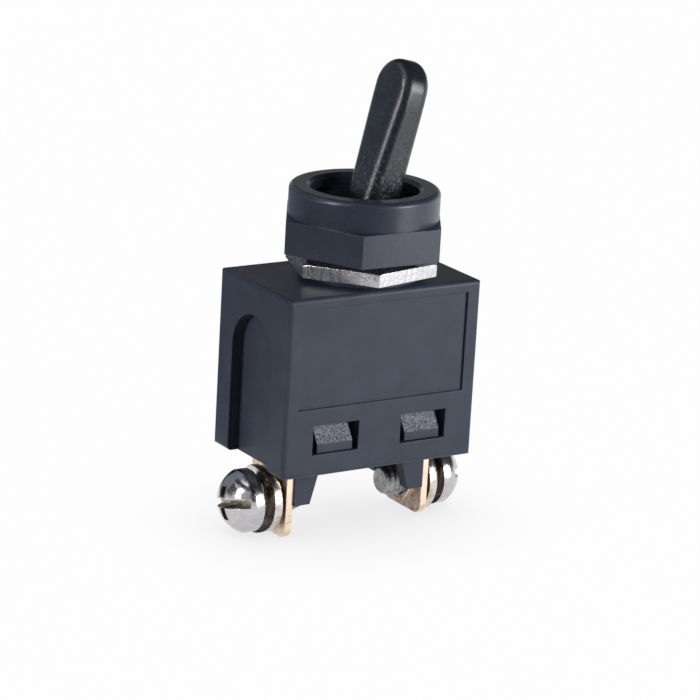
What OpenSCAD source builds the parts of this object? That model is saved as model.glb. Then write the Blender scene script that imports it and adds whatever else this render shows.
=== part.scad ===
// Panel-mount toggle switch with two screw terminals, the kind used on small angle grinders.
// The origin is on the neck's axis, at the top face of the case. +Z points up along the neck,
// X runs along the case from one terminal to the other, and Y runs through it. Millimetres.
// The lever is drawn leaning towards +X, which closes the contact on the -X side.

/* [Case] */
// Length of the case, along X
case_l = 23.3; // [22:0.1:30]
// Depth of the case, along Y
case_w = 14.1; // [13.2:0.1:18]
// Height of the case
case_h = 19.2; // [18.6:0.1:25]
// Distance from the middle of the case to the neck's axis
neck_shift = 1.05; // [0:0.05:1.5]
// Thickness of the end walls
end_wall = 2.5; // [2.2:0.1:3]
// Thickness of the front and back walls
side_wall = 1.4; // [1:0.1:1.8]
// Thickness of the roof
roof_t = 1.6; // [1:0.1:2.4]
// Radius of the case's rounded edges
edge_r = 0.5; // [0.2:0.05:0.9]

/* [Case details] */
// Depth of the sunk panel on the front face
panel_depth = 0.3; // [0.1:0.05:0.6]
// Margin between the panel and each end of the case
panel_margin = 1.6; // [1:0.05:4]
// Distance from the top of the case down to the panel
panel_drop = 1.25; // [0.8:0.05:2]
// Height of the panel
panel_h = 10.6; // [6:0.1:11]
// Distance between the middles of the two windows in a side wall
window_pitch = 10.7; // [8:0.1:12]
// Width of a window
window_w = 5.5; // [4.8:0.1:6.5]
// Height of a window
window_h = 3.1; // [2.4:0.1:3.6]
// Distance from the foot of the case up to the windows
window_rise = 2.4; // [1.5:0.1:2.8]
// Width of the arched recess in each end wall
recess_w = 8.1; // [5:0.1:10]
// Depth of the arched recess
recess_depth = 1.3; // [0.4:0.05:1.6]
// Distance from the top of the case down to the crown of the recess
recess_drop = 3.4; // [2:0.1:6]

/* [Neck] */
// Outer diameter of the neck, over its thread
neck_d = 12; // [11.4:0.1:13]
// Height of the neck above the case
neck_h = 7.6; // [6.8:0.1:8]
// Diameter of the bore around the lever's ball
neck_bore_d = 7.1; // [6.9:0.05:7.8]
// Diameter of the wide bore below the ball
throat_d = 9.6; // [9:0.1:10.2]
// Height of the wide bore's upper end above the case
throat_h = 1.5; // [0.8:0.1:1.6]
// Width of the bevel at the mouth of the neck
mouth_bevel = 0.6; // [0.2:0.05:1]
// Diameter of the collar at the neck's foot
collar_d = 12.6; // [12.4:0.1:13.8]
// Height of the collar, which the hex nut sits on
collar_h = 0.55; // [0.3:0.05:0.8]

/* [Nuts] */
// Radial play between a nut's bore and the neck
thread_play = 0.05; // [0.02:0.01:0.1]
// Width across the flats of the hex nut
hex_nut_flats = 14.25; // [13.8:0.05:17]
// Thickness of the hex nut
hex_nut_t = 1.45; // [1:0.05:2]
// Width of the bevel on the hex nut's corners
hex_nut_bevel = 0.15; // [0.1:0.05:0.6]
// Turn of the hex nut about the neck
hex_nut_turn = 11.1; // [0:0.1:60]
// Gap between the hex nut and the bezel nut
nut_gap = 0.7; // [0.1:0.05:1]
// Amount by which the bezel nut's flats are wider than the hex nut's
bezel_step = 1.7; // [0.8:0.05:3.8]
// Height of the bezel nut's hexagon
bezel_hex_h = 3.5; // [2.5:0.1:4]
// Diameter of the bezel nut's ring
bezel_ring_d = 15.8; // [15.2:0.05:17]
// Height of the bezel nut's ring above its hexagon
bezel_ring_h = 3.1; // [2.8:0.1:4.5]
// Radius of the ring's rounded upper edge
bezel_edge_r = 0.55; // [0.3:0.05:1.2]
// Diameter of the hole in the bezel nut's lip
bezel_hole_d = 11.4; // [10.8:0.1:12]
// Diameter of the funnel at its rim
bezel_rim_d = 12.1; // [12.1:0.1:13.9]
// Depth of the funnel
bezel_funnel_h = 0.35; // [0.2:0.05:1.4]
// Thickness of the lip's straight edge below the funnel
bezel_lip_t = 0.9; // [0.3:0.05:1.2]
// Turn of the bezel nut about the neck
bezel_turn = 57.8; // [0:0.1:60]

/* [Lever] */
// Height of the lever's pivot above the case
pivot_z = 3.45; // [3.3:0.05:3.8]
// Angle that the lever leans either way
throw = 13.4; // [8:0.1:14]
// Distance from the pivot to the lever's tip
lever_reach = 19.3; // [15:0.1:26]
// Width of the paddle near its tip, along Y
paddle_tip_w = 6; // [4.5:0.05:6.6]
// Thickness of the paddle near its tip, along X
paddle_tip_t = 3.45; // [2.4:0.05:3.8]
// Distance from the lever's tip down to the end of its square shaft
shoulder_drop = 4; // [3.2:0.1:6]
// Width of the paddle at its root
paddle_root_w = 3.9; // [2.6:0.05:4.2]
// Thickness of the paddle at its root
paddle_root_t = 4.65; // [3.6:0.05:4.8]
// Radius of the paddle's long edges
paddle_edge_r = 1.1; // [0.4:0.05:1.2]
// Radius of the rounded rim at the paddle's tip
paddle_rim_r = 1.15; // [0.5:0.05:1.2]
// Diameter of the ball that the lever turns in
ball_d = 6.7; // [6.3:0.05:6.8]
// Diameter of the tail below the ball
tail_d = 5.6; // [5:0.1:5.8]
// Distance from the pivot to the end of the tail
tail_reach = 8.3; // [7.4:0.1:8.6]
// Diameter of the lever's pin
pin_d = 2; // [1.6:0.05:2.2]
// Radial play of the lever on its pin
pin_play = 0.05; // [0.02:0.01:0.1]
// Radial play of the pin in the neck
pin_seat_play = 0.02; // [0.01:0.01:0.04]
// Distance between each end of the pin and the outside of the neck
pin_inset = 0.2; // [0.1:0.05:0.6]

/* [Plunger] */
// Diameter of the plunger
plunger_d = 3.2; // [2.8:0.05:3.4]
// Radial play of the plunger in the tail
plunger_play = 0.08; // [0.04:0.01:0.1]
// Distance that the plunger stands out of the tail
plunger_out = 2.1; // [1.6:0.05:2.5]
// Length of the plunger without its stem
plunger_l = 4.6; // [3.8:0.1:5]
// Diameter of the stem that centres the spring
stem_d = 1.5; // [1:0.05:1.8]
// Length of the stem
stem_l = 1.8; // [1:0.1:2.2]
// Wall between the lever's pin and the top of the plunger's bore
pin_wall = 0.8; // [0.5:0.05:1]
// Wire diameter of the plunger's spring
spring_wire_d = 0.4; // [0.3:0.02:0.46]
// Turns of the plunger's spring
spring_turns = 5; // [3:0.5:7]

/* [Rocker] */
// Clearance between the plunger's tip and the rocker at mid-throw
plunger_gap = 0.13; // [0.1:0.01:0.3]
// Angle that the rocker tips either way
rocker_tilt = 8; // [5:0.5:9]
// Slope of the rocker's inner arms when it is level
inner_slope = 16; // [14:0.5:18]
// Length of each inner arm, along X
inner_arm = 3.2; // [2.8:0.1:3.6]
// Length of each outer arm
outer_arm = 3.4; // [3:0.1:3.8]
// Thickness of the rocker blade
blade_t = 0.7; // [0.5:0.05:0.9]
// Width of the rocker blade
blade_w = 4.6; // [4:0.1:5]
// Diameter of the rocker's trunnions
trunnion_d = 1; // [0.8:0.05:1.2]
// Radial play of the trunnions in their cradle
trunnion_play = 0.05; // [0.02:0.01:0.1]
// Gap between the rocker blade and each ear of its cradle
ear_gap = 0.25; // [0.2:0.05:0.4]
// Length of a cradle ear, along X
ear_l = 3; // [2.4:0.1:3.4]
// Height of the ears above the trunnions' axis
ear_rise = 0.5; // [0.2:0.05:0.7]

/* [Contacts] */
// Diameter of the contact heads
contact_d = 2.8; // [2.2:0.1:3]
// Height of a contact head
contact_h = 0.8; // [0.5:0.05:1]
// Bevel on the contact heads
contact_bevel = 0.2; // [0.1:0.05:0.3]
// Diameter of the contact rivets' shanks
contact_shank_d = 1.4; // [1:0.05:1.6]
// Height of the upset ends of the contact rivets
contact_upset_h = 0.3; // [0.2:0.05:0.4]
// Distance from the knee of the rocker's arm to the moving contact
contact_out = 1.8; // [1.6:0.05:1.95]
// Gap left between the closed contacts
contact_gap = 0.1; // [0.08:0.01:0.2]

/* [Base] */
// Clearance between the base and the case's inside
fit_gap = 0.1; // [0.05:0.01:0.2]
// Height of the base block inside the case
base_h = 7.2; // [6.6:0.1:7.6]
// Width of a snap hook
hook_w = 4.3; // [3.4:0.1:4.6]
// Play between a snap hook and its window, above and below
hook_play = 0.1; // [0.05:0.01:0.2]
// Distance of a hook's lip below the case's outer face
hook_inset = 0.15; // [0:0.05:0.5]
// Height of a hook's upright lip
hook_lip_h = 0.95; // [0.5:0.05:1.2]
// Distance from the foot of the case to the foot of the terminal legs
leg_h = 4.2; // [3:0.1:5]
// Thickness of a leg at its foot, along X
leg_foot_t = 1.95; // [1.2:0.05:2.6]
// Thickness of a leg at its root, along X
leg_root_t = 3.1; // [2.6:0.05:3.6]
// Width over the two cheeks of a leg, along Y
leg_w = 7.7; // [7:0.1:8.4]
// Play between the drawn collar of a terminal and the cheeks beside it
leg_slot_play = 0.15; // [0.05:0.05:0.3]
// Width of a stop post, along Y
stop_w = 0.8; // [0.5:0.05:1]
// Length of a stop post, along X
stop_l = 1.6; // [1:0.1:2]
// Gap between the tipped rocker and its stop posts
stop_gap = 0.15; // [0.1:0.01:0.3]

/* [Terminals] */
// Thickness of the terminal strips
strip_t = 0.8; // [0.6:0.05:1]
// Width of the terminal strips
strip_w = 7.2; // [6.4:0.1:7.6]
// Clearance between a strip and the case's end wall
strip_play = 0.35; // [0.1:0.05:0.5]
// Inner radius of the bends in the strips
bend_r = 0.4; // [0.2:0.05:0.6]
// Distance from the foot of the case to the foot of the contact terminal
contact_plate_drop = 7.8; // [7.3:0.1:9]
// Distance from the foot of the case to the foot of the pivot terminal
pivot_plate_drop = 7.4; // [7.3:0.1:9]
// Radius of the plates' lower corners
plate_r = 1.2; // [0.4:0.1:2]
// Distance from the foot of the case to the screws' axis
screw_drop = 4.2; // [3.8:0.05:4.3]
// Outer diameter of the drawn collar round the tapped hole
tap_collar_d = 4.6; // [4.3:0.05:4.8]
// Length of the drawn collar
tap_collar_l = 0.7; // [0.3:0.05:1]

/* [Terminal screws] */
// Thread diameter of the terminal screws
screw_d = 3.5; // [3:0.05:3.6]
// Radial play between the screw and the holes it passes through
screw_play = 0.05; // [0.02:0.01:0.1]
// Diameter of the pan head
head_d = 6.7; // [6:0.1:6.9]
// Height of the pan head
head_h = 3.3; // [2.4:0.05:3.6]
// Height of the head's straight rim
head_rim_h = 1.1; // [0.4:0.05:1.3]
// Length of the screw under its head
screw_l = 6.1; // [5:0.05:7]
// Bevel at the end of the screw
screw_tip_bevel = 0.5; // [0.2:0.05:0.6]
// Width of the driver slot
slot_w = 0.9; // [0.6:0.05:1.2]
// Depth of the driver slot
slot_depth = 1.75; // [0.5:0.05:1.9]
// Width of the cross recess over two opposite wings, at the top
cross_l = 4; // [3:0.1:4.6]
// Depth of the cross recess
cross_depth = 2.1; // [1:0.05:2.3]
// Turn of the slot from upright
slot_turn = 78; // [0:1:180]
// Gap between the terminal plate and the clamp washer
clamp_gap = 0.35; // [0.1:0.05:0.5]
// Thickness of the clamp washer
clamp_t = 0.95; // [0.5:0.05:1.1]
// Outer diameter of the clamp washer
clamp_d = 7.2; // [6.4:0.1:7.2]
// Margin of the clamp washer's flat middle around the spring washer
clamp_margin = 0.05; // [0.02:0.01:0.2]
// Angle that the clamp washer's wings are bent away from the plate
clamp_bend = 28; // [15:1:35]
// Outer diameter of the spring washer
spring_washer_d = 4.7; // [4.4:0.1:4.9]
// Thickness of the spring washer
spring_washer_t = 1.05; // [0.9:0.05:1.5]
// Width of the split in the spring washer
washer_split = 0.5; // [0.2:0.05:0.8]
// Slant of the split
split_slant = 25; // [10:1:35]

/* [Hidden] */
$fn = 64;
hull_fn = 32;
cut = 0.5;

// Levels and spaces of the case
case_x = -neck_shift;
case_foot = -case_h;
cavity_l = case_l - 2 * end_wall;
cavity_w = case_w - 2 * side_wall;
base_top = case_foot + base_h;
window_z = case_foot + window_rise;

// Terminal plates, measured from the middle of the case
plate_out = cavity_l / 2 - strip_play;
plate_in = plate_out - strip_t;
screw_z = case_foot - screw_drop;
clamp_x = plate_out + clamp_gap;
spring_washer_x = clamp_x + clamp_t;
head_x = spring_washer_x + spring_washer_t;
clamp_flat = spring_washer_d / 2 + clamp_margin;
leg_slot_w = tap_collar_d + 2 * leg_slot_play;

// Plunger and its bore, measured down from the lever's pivot
plunger_reach = tail_reach + plunger_out;
tip_r = plunger_d / 2;
tip_centre = plunger_reach - tip_r;
bore_top = pin_d / 2 + pin_wall;
plunger_top = plunger_reach - plunger_l;
spring_l = plunger_top - bore_top;
spring_r = plunger_d / 2 - spring_wire_d / 2;

// Rocker: the valley of its upper face, its pivot and the knees of its arms
valley_z = pivot_z - tip_centre - (tip_r + plunger_gap) / cos(inner_slope);
rocker_z = valley_z - blade_t / 2;
outer_slope = rocker_tilt;
knee = [inner_arm, blade_t / 2 + inner_arm * tan(inner_slope)];
inner_drop = blade_t / cos(inner_slope);
outer_drop = blade_t / cos(outer_slope);
arm_top = rocker_z - knee[0] * sin(rocker_tilt) + knee[1] * cos(rocker_tilt);
arm_under = arm_top - blade_t;
knee_x = knee[0] * cos(rocker_tilt) + knee[1] * sin(rocker_tilt);
contact_x = -knee_x - contact_out;

// Shelf under the fixed contact
fixed_top = arm_under - contact_h - contact_gap;
shelf_top = fixed_top - contact_h;
stop_x = knee_x + contact_out;
ear_in = blade_w / 2 + ear_gap;

module rounded_rect(l, w, r) {
    square([l - 2 * r, w], center = true);
    square([l, w - 2 * r], center = true);
    for (x = [-1, 1], y = [-1, 1])
        translate([x * (l / 2 - r), y * (w / 2 - r)]) circle(r = r);
}

// Block on its foot, with every edge rounded
module eased_block(l, w, h, r) {
    intersection() {
        linear_extrude(h) rounded_rect(l, w, r);
        translate([0, 0, h / 2]) rotate([90, 0, 0])
            linear_extrude(w, center = true) rounded_rect(l, h, r);
        translate([0, 0, h / 2]) rotate([90, 0, 90])
            linear_extrude(l, center = true) rounded_rect(w, h, r);
    }
}

// Box that is centred in X and Y and stands on its foot
module standing_box(l, w, h) {
    translate([-l / 2, -w / 2, 0]) cube([l, w, h]);
}

// Profile in X and Z, made solid along Y
module through_y(w) {
    rotate([90, 0, 0]) linear_extrude(w, center = true) children();
}

// Children placed at the right or left end of the case, as mirror images
module at_end(side) {
    translate([case_x, 0, 0]) mirror([side < 0 ? 1 : 0, 0, 0]) children();
}

// Children placed on the front and back of the case
module on_both_sides() {
    for (side = [0, 1]) mirror([0, side, 0]) children();
}

module arch(w, crown, foot) {
    translate([-w / 2, foot]) square([w, crown - w / 2 - foot]);
    translate([0, crown - w / 2]) circle(d = w);
}

module end_recess() {
    translate([case_l / 2 - recess_depth, 0, 0]) rotate([90, 0, 90])
        linear_extrude(recess_depth + cut) arch(recess_w, -recess_drop, case_foot - cut);
}

module window_cuts() {
    for (side = [-1, 1])
        translate([case_x + side * window_pitch / 2, 0, window_z])
            standing_box(window_w, case_w + cut, window_h);
}

module case_shell() {
    color("#3d424b") difference() {
        union() {
            translate([case_x, 0, case_foot]) eased_block(case_l, case_w, case_h, edge_r);
            translate([0, 0, -roof_t]) cylinder(d = neck_d, h = neck_h + roof_t);
            translate([0, 0, -roof_t]) cylinder(d = collar_d, h = collar_h + roof_t);
        }
        translate([case_x, 0, case_foot - cut])
            standing_box(cavity_l, cavity_w, case_h - roof_t + cut);
        translate([0, 0, -roof_t - cut]) cylinder(d = throat_d, h = roof_t + throat_h + cut);
        cylinder(d = neck_bore_d, h = neck_h + cut);
        translate([0, 0, neck_h - mouth_bevel]) cylinder(
            d1 = neck_bore_d, d2 = neck_bore_d + 2 * (mouth_bevel + cut), h = mouth_bevel + cut
        );
        translate([0, 0, pivot_z]) rotate([90, 0, 0])
            cylinder(d = pin_d + 2 * pin_seat_play, h = neck_d + cut, center = true);
        translate([case_x, -case_w / 2 - cut, -panel_drop - panel_h])
            standing_box(case_l - 2 * panel_margin, 2 * (panel_depth + cut), panel_h);
        window_cuts();
        for (side = [-1, 1]) at_end(side) end_recess();
    }
}

// Wedge that snaps into a window, on the front of the base block
module snap_hook() {
    wall_y = cavity_w / 2 - fit_gap;
    lip_y = case_w / 2 - hook_inset;
    foot = window_z + hook_play;
    crown = window_z + window_h - hook_play;
    rotate([90, 0, 90]) linear_extrude(hook_w, center = true) polygon([
        [-wall_y + cut, foot], [-lip_y, foot], [-lip_y, foot + hook_lip_h],
        [-wall_y, crown], [-wall_y + cut, crown]
    ]);
}

module leg_cheek() {
    cheek_w = (leg_w - leg_slot_w) / 2;
    sunk_t = leg_root_t + cut * (leg_root_t - leg_foot_t) / leg_h;
    translate([0, -(leg_w - cheek_w) / 2, 0]) through_y(cheek_w) polygon([
        [plate_in, case_foot + cut], [plate_in, case_foot - leg_h],
        [plate_in - leg_foot_t, case_foot - leg_h], [plate_in - sunk_t, case_foot + cut]
    ]);
}

module stop_post() {
    translate([stop_x, -(blade_w - stop_w) / 2, base_top - cut])
        standing_box(stop_l, stop_w, arm_under - stop_gap - base_top + cut);
}

module contact_shelf() {
    outer = -plate_in - cut + case_x;
    inner = contact_x + contact_d / 2;
    translate([(outer + inner) / 2, 0, base_top - cut]) difference() {
        standing_box(inner - outer, strip_w, shelf_top - strip_t - base_top + cut);
        translate([contact_x - (outer + inner) / 2, 0, 0])
            cylinder(d = contact_d, h = shelf_top - base_top + cut);
    }
}

// Notch for a terminal's upright at the right-hand end. Its upper inner edge, at height z, is
// bevelled to clear the inside of the bent strip.
module strip_notch(z) {
    far = cavity_l / 2 + cut;
    through_y(strip_w + 2 * fit_gap) polygon([
        [plate_in, case_foot - cut], [far, case_foot - cut], [far, z + cut],
        [plate_in - bend_r - cut, z + cut], [plate_in, z - bend_r]
    ]);
}

module base_block() {
    difference() {
        union() {
            translate([case_x, 0, case_foot])
                standing_box(cavity_l - 2 * fit_gap, cavity_w - 2 * fit_gap, base_h);
            contact_shelf();
        }
        at_end(-1) strip_notch(shelf_top - strip_t);
        at_end(1) strip_notch(base_top);
    }
}

module terminal_base() {
    color("#343840") {
        base_block();
        on_both_sides() {
            for (side = [-1, 1]) {
                translate([case_x + side * window_pitch / 2, 0, 0]) snap_hook();
                at_end(side) leg_cheek();
            }
            stop_post();
        }
    }
}

module hex_prism(flats, h, turn) {
    rotate([0, 0, turn]) cylinder(d = flats / cos(30), h = h, $fn = 6);
}

module hex_nut() {
    across_corners = hex_nut_flats / cos(30);
    color("#c9c8cc") translate([0, 0, collar_h]) difference() {
        intersection() {
            hex_prism(hex_nut_flats, hex_nut_t, hex_nut_turn);
            union() {
                cylinder(d = across_corners + cut, h = hex_nut_t - hex_nut_bevel);
                translate([0, 0, hex_nut_t - hex_nut_bevel]) cylinder(
                    d1 = across_corners, d2 = across_corners - 4 * hex_nut_bevel, h = hex_nut_bevel
                );
            }
        }
        translate([0, 0, -cut])
            cylinder(d = neck_d + 2 * thread_play, h = hex_nut_t + 2 * cut);
    }
}

module bezel_nut() {
    flats = hex_nut_flats + bezel_step;
    foot = collar_h + hex_nut_t + nut_gap;
    height = bezel_hex_h + bezel_ring_h;
    ring_r = bezel_ring_d / 2;
    thread_h = height - bezel_funnel_h - bezel_lip_t;
    funnel_widening = (bezel_rim_d - bezel_hole_d) / bezel_funnel_h;
    color("#3a3f47") translate([0, 0, foot]) difference() {
        union() {
            hex_prism(flats, bezel_hex_h, bezel_turn);
            rotate_extrude() {
                square([ring_r - bezel_edge_r, height]);
                square([ring_r, height - bezel_edge_r]);
                translate([ring_r - bezel_edge_r, height - bezel_edge_r])
                    circle(r = bezel_edge_r);
            }
        }
        translate([0, 0, -cut]) cylinder(d = neck_d + 2 * thread_play, h = thread_h + cut);
        cylinder(d = bezel_hole_d, h = height + cut);
        translate([0, 0, height - bezel_funnel_h]) cylinder(
            d1 = bezel_hole_d, d2 = bezel_rim_d + cut * funnel_widening, h = bezel_funnel_h + cut
        );
    }
}

// Everything that swings with the lever is drawn upright about the pivot, then leaned over
module on_lever() {
    translate([0, 0, pivot_z]) rotate([0, throw, 0]) children();
}

// Round disc across X with softened rims, for the top of the paddle
module paddle_tip() {
    tip_radius = paddle_tip_w / 2;
    half_t = paddle_tip_t / 2;
    translate([0, 0, lever_reach - tip_radius]) rotate([0, 90, 0])
        rotate_extrude($fn = 2 * hull_fn) intersection() {
            rounded_rect(paddle_tip_w, paddle_tip_t, paddle_rim_r, $fn = hull_fn);
            translate([0, -half_t]) square([tip_radius, paddle_tip_t]);
        }
}

// Thin slice of the paddle's shaft, square to the lever
module paddle_section(z, t, w) {
    translate([0, 0, z]) linear_extrude(paddle_edge_r)
        rounded_rect(t, w, paddle_edge_r, $fn = hull_fn);
}

module lever() {
    shoulder = lever_reach - shoulder_drop - paddle_edge_r;
    color("#2b3037") on_lever() difference() {
        union() {
            hull() {
                paddle_section(0, paddle_root_t, paddle_root_w);
                paddle_section(shoulder, paddle_tip_t, paddle_tip_w);
                paddle_tip();
            }
            sphere(d = ball_d);
            translate([0, 0, -tail_reach]) cylinder(d = tail_d, h = tail_reach);
        }
        rotate([90, 0, 0]) cylinder(d = pin_d + 2 * pin_play, h = ball_d + cut, center = true);
        translate([0, 0, -tail_reach - cut])
            cylinder(d = plunger_d + 2 * plunger_play, h = tail_reach - bore_top + cut);
    }
}

module lever_pin() {
    color("#b4b6ba") translate([0, 0, pivot_z]) rotate([90, 0, 0])
        cylinder(d = pin_d, h = neck_d - 2 * pin_inset, center = true);
}

module plunger() {
    color("#e6e2d6") on_lever() {
        translate([0, 0, -tip_centre]) sphere(d = plunger_d);
        translate([0, 0, -tip_centre]) cylinder(d = plunger_d, h = tip_centre - plunger_top);
        translate([0, 0, -plunger_top]) cylinder(d = stem_d, h = stem_l);
    }
}

// Points of a round wire that is wound about Z, one ring of points for each step
function coil_points(r, wire_r, turns, height, steps, sides) = [
    for (i = [0 : steps], k = [0 : sides - 1])
        let (a = 360 * turns * i / steps, b = 360 * k / sides, out = r + wire_r * cos(b))
        [out * cos(a), out * sin(a), height * i / steps + wire_r * sin(b)]
];

function coil_sides(steps, sides) = [
    for (i = [0 : steps - 1], k = [0 : sides - 1])
        let (n = (k + 1) % sides)
        [i * sides + k, i * sides + n, (i + 1) * sides + n, (i + 1) * sides + k]
];

module coil(r, wire_r, turns, height) {
    sides = 8;
    steps = ceil(turns * 16);
    first = [for (k = [sides - 1 : -1 : 0]) k];
    last = [for (k = [0 : sides - 1]) steps * sides + k];
    polyhedron(
        points = coil_points(r, wire_r, turns, height, steps, sides),
        faces = concat([first, last], coil_sides(steps, sides))
    );
}

module plunger_spring() {
    wire_r = spring_wire_d / 2;
    color("#a9acb2") on_lever() translate([0, 0, -plunger_top + wire_r])
        coil(spring_r, wire_r, spring_turns, spring_l - spring_wire_d);
}

// The rocker and its contact are drawn level about the trunnions, then tipped
module on_rocker() {
    translate([0, 0, rocker_z]) rotate([0, -rocker_tilt, 0]) children();
}

// Children placed on the outer arm at the contact, with Z square to the arm's upper face
module on_contact_arm() {
    translate([-knee[0], 0, knee[1]]) rotate([0, outer_slope, 0])
        translate([-contact_out, 0, 0]) children();
}

module rocker_blade() {
    tip = knee + outer_arm * [cos(outer_slope), sin(outer_slope)];
    under_tip = tip - blade_t * [-sin(outer_slope), cos(outer_slope)];
    under_shift = (inner_drop - outer_drop) / (tan(inner_slope) - tan(outer_slope));
    under_knee = knee + [under_shift, under_shift * tan(inner_slope) - inner_drop];
    color("#b98a4e") on_rocker() difference() {
        union() {
            for (side = [0, 1]) mirror([side, 0, 0]) through_y(blade_w) polygon([
                [0, blade_t / 2], knee, tip, under_tip, under_knee, [0, blade_t / 2 - inner_drop]
            ]);
            rotate([90, 0, 0])
                cylinder(d = trunnion_d, h = 2 * (ear_in + strip_t + ear_gap), center = true);
        }
        on_contact_arm() cylinder(d = contact_shank_d, h = 4 * blade_t, center = true);
    }
}

// Rivet with its contact face down, seen from the sheet's upper face
module contact_rivet(sheet_t) {
    translate([0, 0, -sheet_t - contact_h]) cylinder(
        d1 = contact_d - 2 * contact_bevel, d2 = contact_d, h = contact_bevel
    );
    translate([0, 0, -sheet_t - contact_h + contact_bevel])
        cylinder(d = contact_d, h = contact_h - contact_bevel);
    translate([0, 0, -sheet_t]) cylinder(d = contact_shank_d, h = sheet_t + contact_upset_h);
    cylinder(d = (contact_d + contact_shank_d) / 2, h = contact_upset_h);
}

module moving_contact() {
    color("#d8d9dc") on_rocker() on_contact_arm() contact_rivet(blade_t);
}

module fixed_contact() {
    color("#d8d9dc") translate([contact_x, 0, shelf_top - strip_t]) mirror([0, 0, 1])
        contact_rivet(strip_t);
}

// Bent strip in X and Z: the outer face of its upright at x = 0, its upper face at y = 0
module strip_profile(reach, drop) {
    outer_r = bend_r + strip_t;
    translate([-reach, -strip_t]) square([reach - outer_r, strip_t]);
    translate([-strip_t, -drop]) square([strip_t, drop - outer_r]);
    translate([-outer_r, -outer_r]) intersection() {
        difference() {
            circle(r = outer_r);
            circle(r = bend_r);
        }
        square(outer_r);
    }
}

// Outline of a terminal across the case, with rounded lower corners
module plate_outline(top, foot) {
    translate([-strip_w / 2, foot + plate_r]) square([strip_w, top - foot]);
    translate([-strip_w / 2 + plate_r, foot]) square([strip_w - 2 * plate_r, plate_r]);
    for (side = [-1, 1])
        translate([side * (strip_w / 2 - plate_r), foot + plate_r]) circle(r = plate_r);
}

// Bent strip at the right-hand end of the case, with a tapped hole for the screw
module terminal_strip(top, foot, reach) {
    difference() {
        union() {
            intersection() {
                translate([plate_out, 0, top]) through_y(strip_w)
                    strip_profile(reach, top - foot);
                rotate([90, 0, 90]) linear_extrude(4 * case_l, center = true)
                    plate_outline(top, foot);
            }
            translate([plate_in - tap_collar_l, 0, screw_z]) rotate([0, 90, 0])
                cylinder(d = tap_collar_d, h = tap_collar_l + strip_t / 2);
        }
        translate([plate_in - tap_collar_l - cut, 0, screw_z]) rotate([0, 90, 0])
            cylinder(d = screw_d + 2 * screw_play, h = tap_collar_l + strip_t + 2 * cut);
    }
}

module contact_terminal() {
    foot = case_foot - contact_plate_drop;
    strip_end = contact_x + contact_d / 2;
    color("#c9a878") difference() {
        at_end(-1) terminal_strip(shelf_top, foot, plate_out - case_x + strip_end);
        translate([contact_x, 0, shelf_top]) cylinder(d = contact_shank_d, h = 4 * strip_t, center = true);
    }
}

module cradle_ear() {
    foot = base_top + strip_t / 2;
    notch_d = trunnion_d + 2 * trunnion_play;
    translate([0, -ear_in - strip_t / 2, 0]) through_y(strip_t) difference() {
        translate([-ear_l / 2, foot]) square([ear_l, rocker_z + ear_rise - foot]);
        translate([0, rocker_z]) circle(d = notch_d);
        translate([-notch_d / 2, rocker_z]) square([notch_d, ear_rise + cut]);
    }
}

module pivot_terminal() {
    foot = case_foot - pivot_plate_drop;
    strip_end = ear_l / 2;
    color("#c9a878") {
        difference() {
            at_end(1) terminal_strip(base_top + strip_t, foot, plate_out + case_x + strip_end);
            on_both_sides() translate([stop_x, -(blade_w - stop_w) / 2, base_top - cut])
                standing_box(stop_l + 2 * fit_gap, stop_w + 2 * fit_gap, strip_t + 2 * cut);
        }
        on_both_sides() cradle_ear();
    }
}

// Trapezium that is wide at the top, for one pair of wings of the cross recess
module cross_wing() {
    half = cross_l / 2;
    through_y(slot_w) polygon([
        [-half, cut], [half, cut], [half, 0], [half / 2, -cross_depth],
        [-half / 2, -cross_depth], [-half, 0]
    ]);
}

// Screw that stands on its tip, with the underside of its head at z = 0
module pan_screw() {
    dome_h = head_h - head_rim_h;
    dome_r = (pow(head_d / 2, 2) + pow(dome_h, 2)) / (2 * dome_h);
    tip_d = screw_d - 2 * screw_tip_bevel;
    difference() {
        intersection() {
            cylinder(d = head_d, h = head_h + cut);
            translate([0, 0, head_h - dome_r]) sphere(r = dome_r);
        }
        translate([0, 0, -2 * dome_r]) standing_box(4 * dome_r, 4 * dome_r, 2 * dome_r);
        translate([0, 0, head_h]) for (turn = [0, 90]) rotate([0, 0, slot_turn + turn]) cross_wing();
        translate([0, 0, head_h - slot_depth]) rotate([0, 0, slot_turn])
            standing_box(2 * head_d, slot_w, slot_depth + cut);
    }
    translate([0, 0, screw_tip_bevel - screw_l]) cylinder(d = screw_d, h = screw_l - screw_tip_bevel);
    translate([0, 0, -screw_l]) cylinder(d1 = tip_d, d2 = screw_d, h = screw_tip_bevel);
}

// Children on the screw's axis at the right or left end, with Z pointing out of the case
module on_screw_axis(side, x) {
    at_end(side) translate([x, 0, screw_z]) rotate([0, 90, 0]) children();
}

module terminal_screw(side) {
    color("#c4c2c3") on_screw_axis(side, head_x) pan_screw();
}

module spring_washer(side) {
    hole_d = screw_d + 2 * screw_play;
    color("#a8a6a6") on_screw_axis(side, spring_washer_x) difference() {
        cylinder(d = spring_washer_d, h = spring_washer_t);
        translate([0, 0, -cut]) cylinder(d = hole_d, h = spring_washer_t + 2 * cut);
        translate([spring_washer_d / 2, 0, spring_washer_t / 2]) rotate([split_slant, 0, 0])
            cube([spring_washer_d, washer_split, 3 * spring_washer_t], center = true);
    }
}

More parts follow.
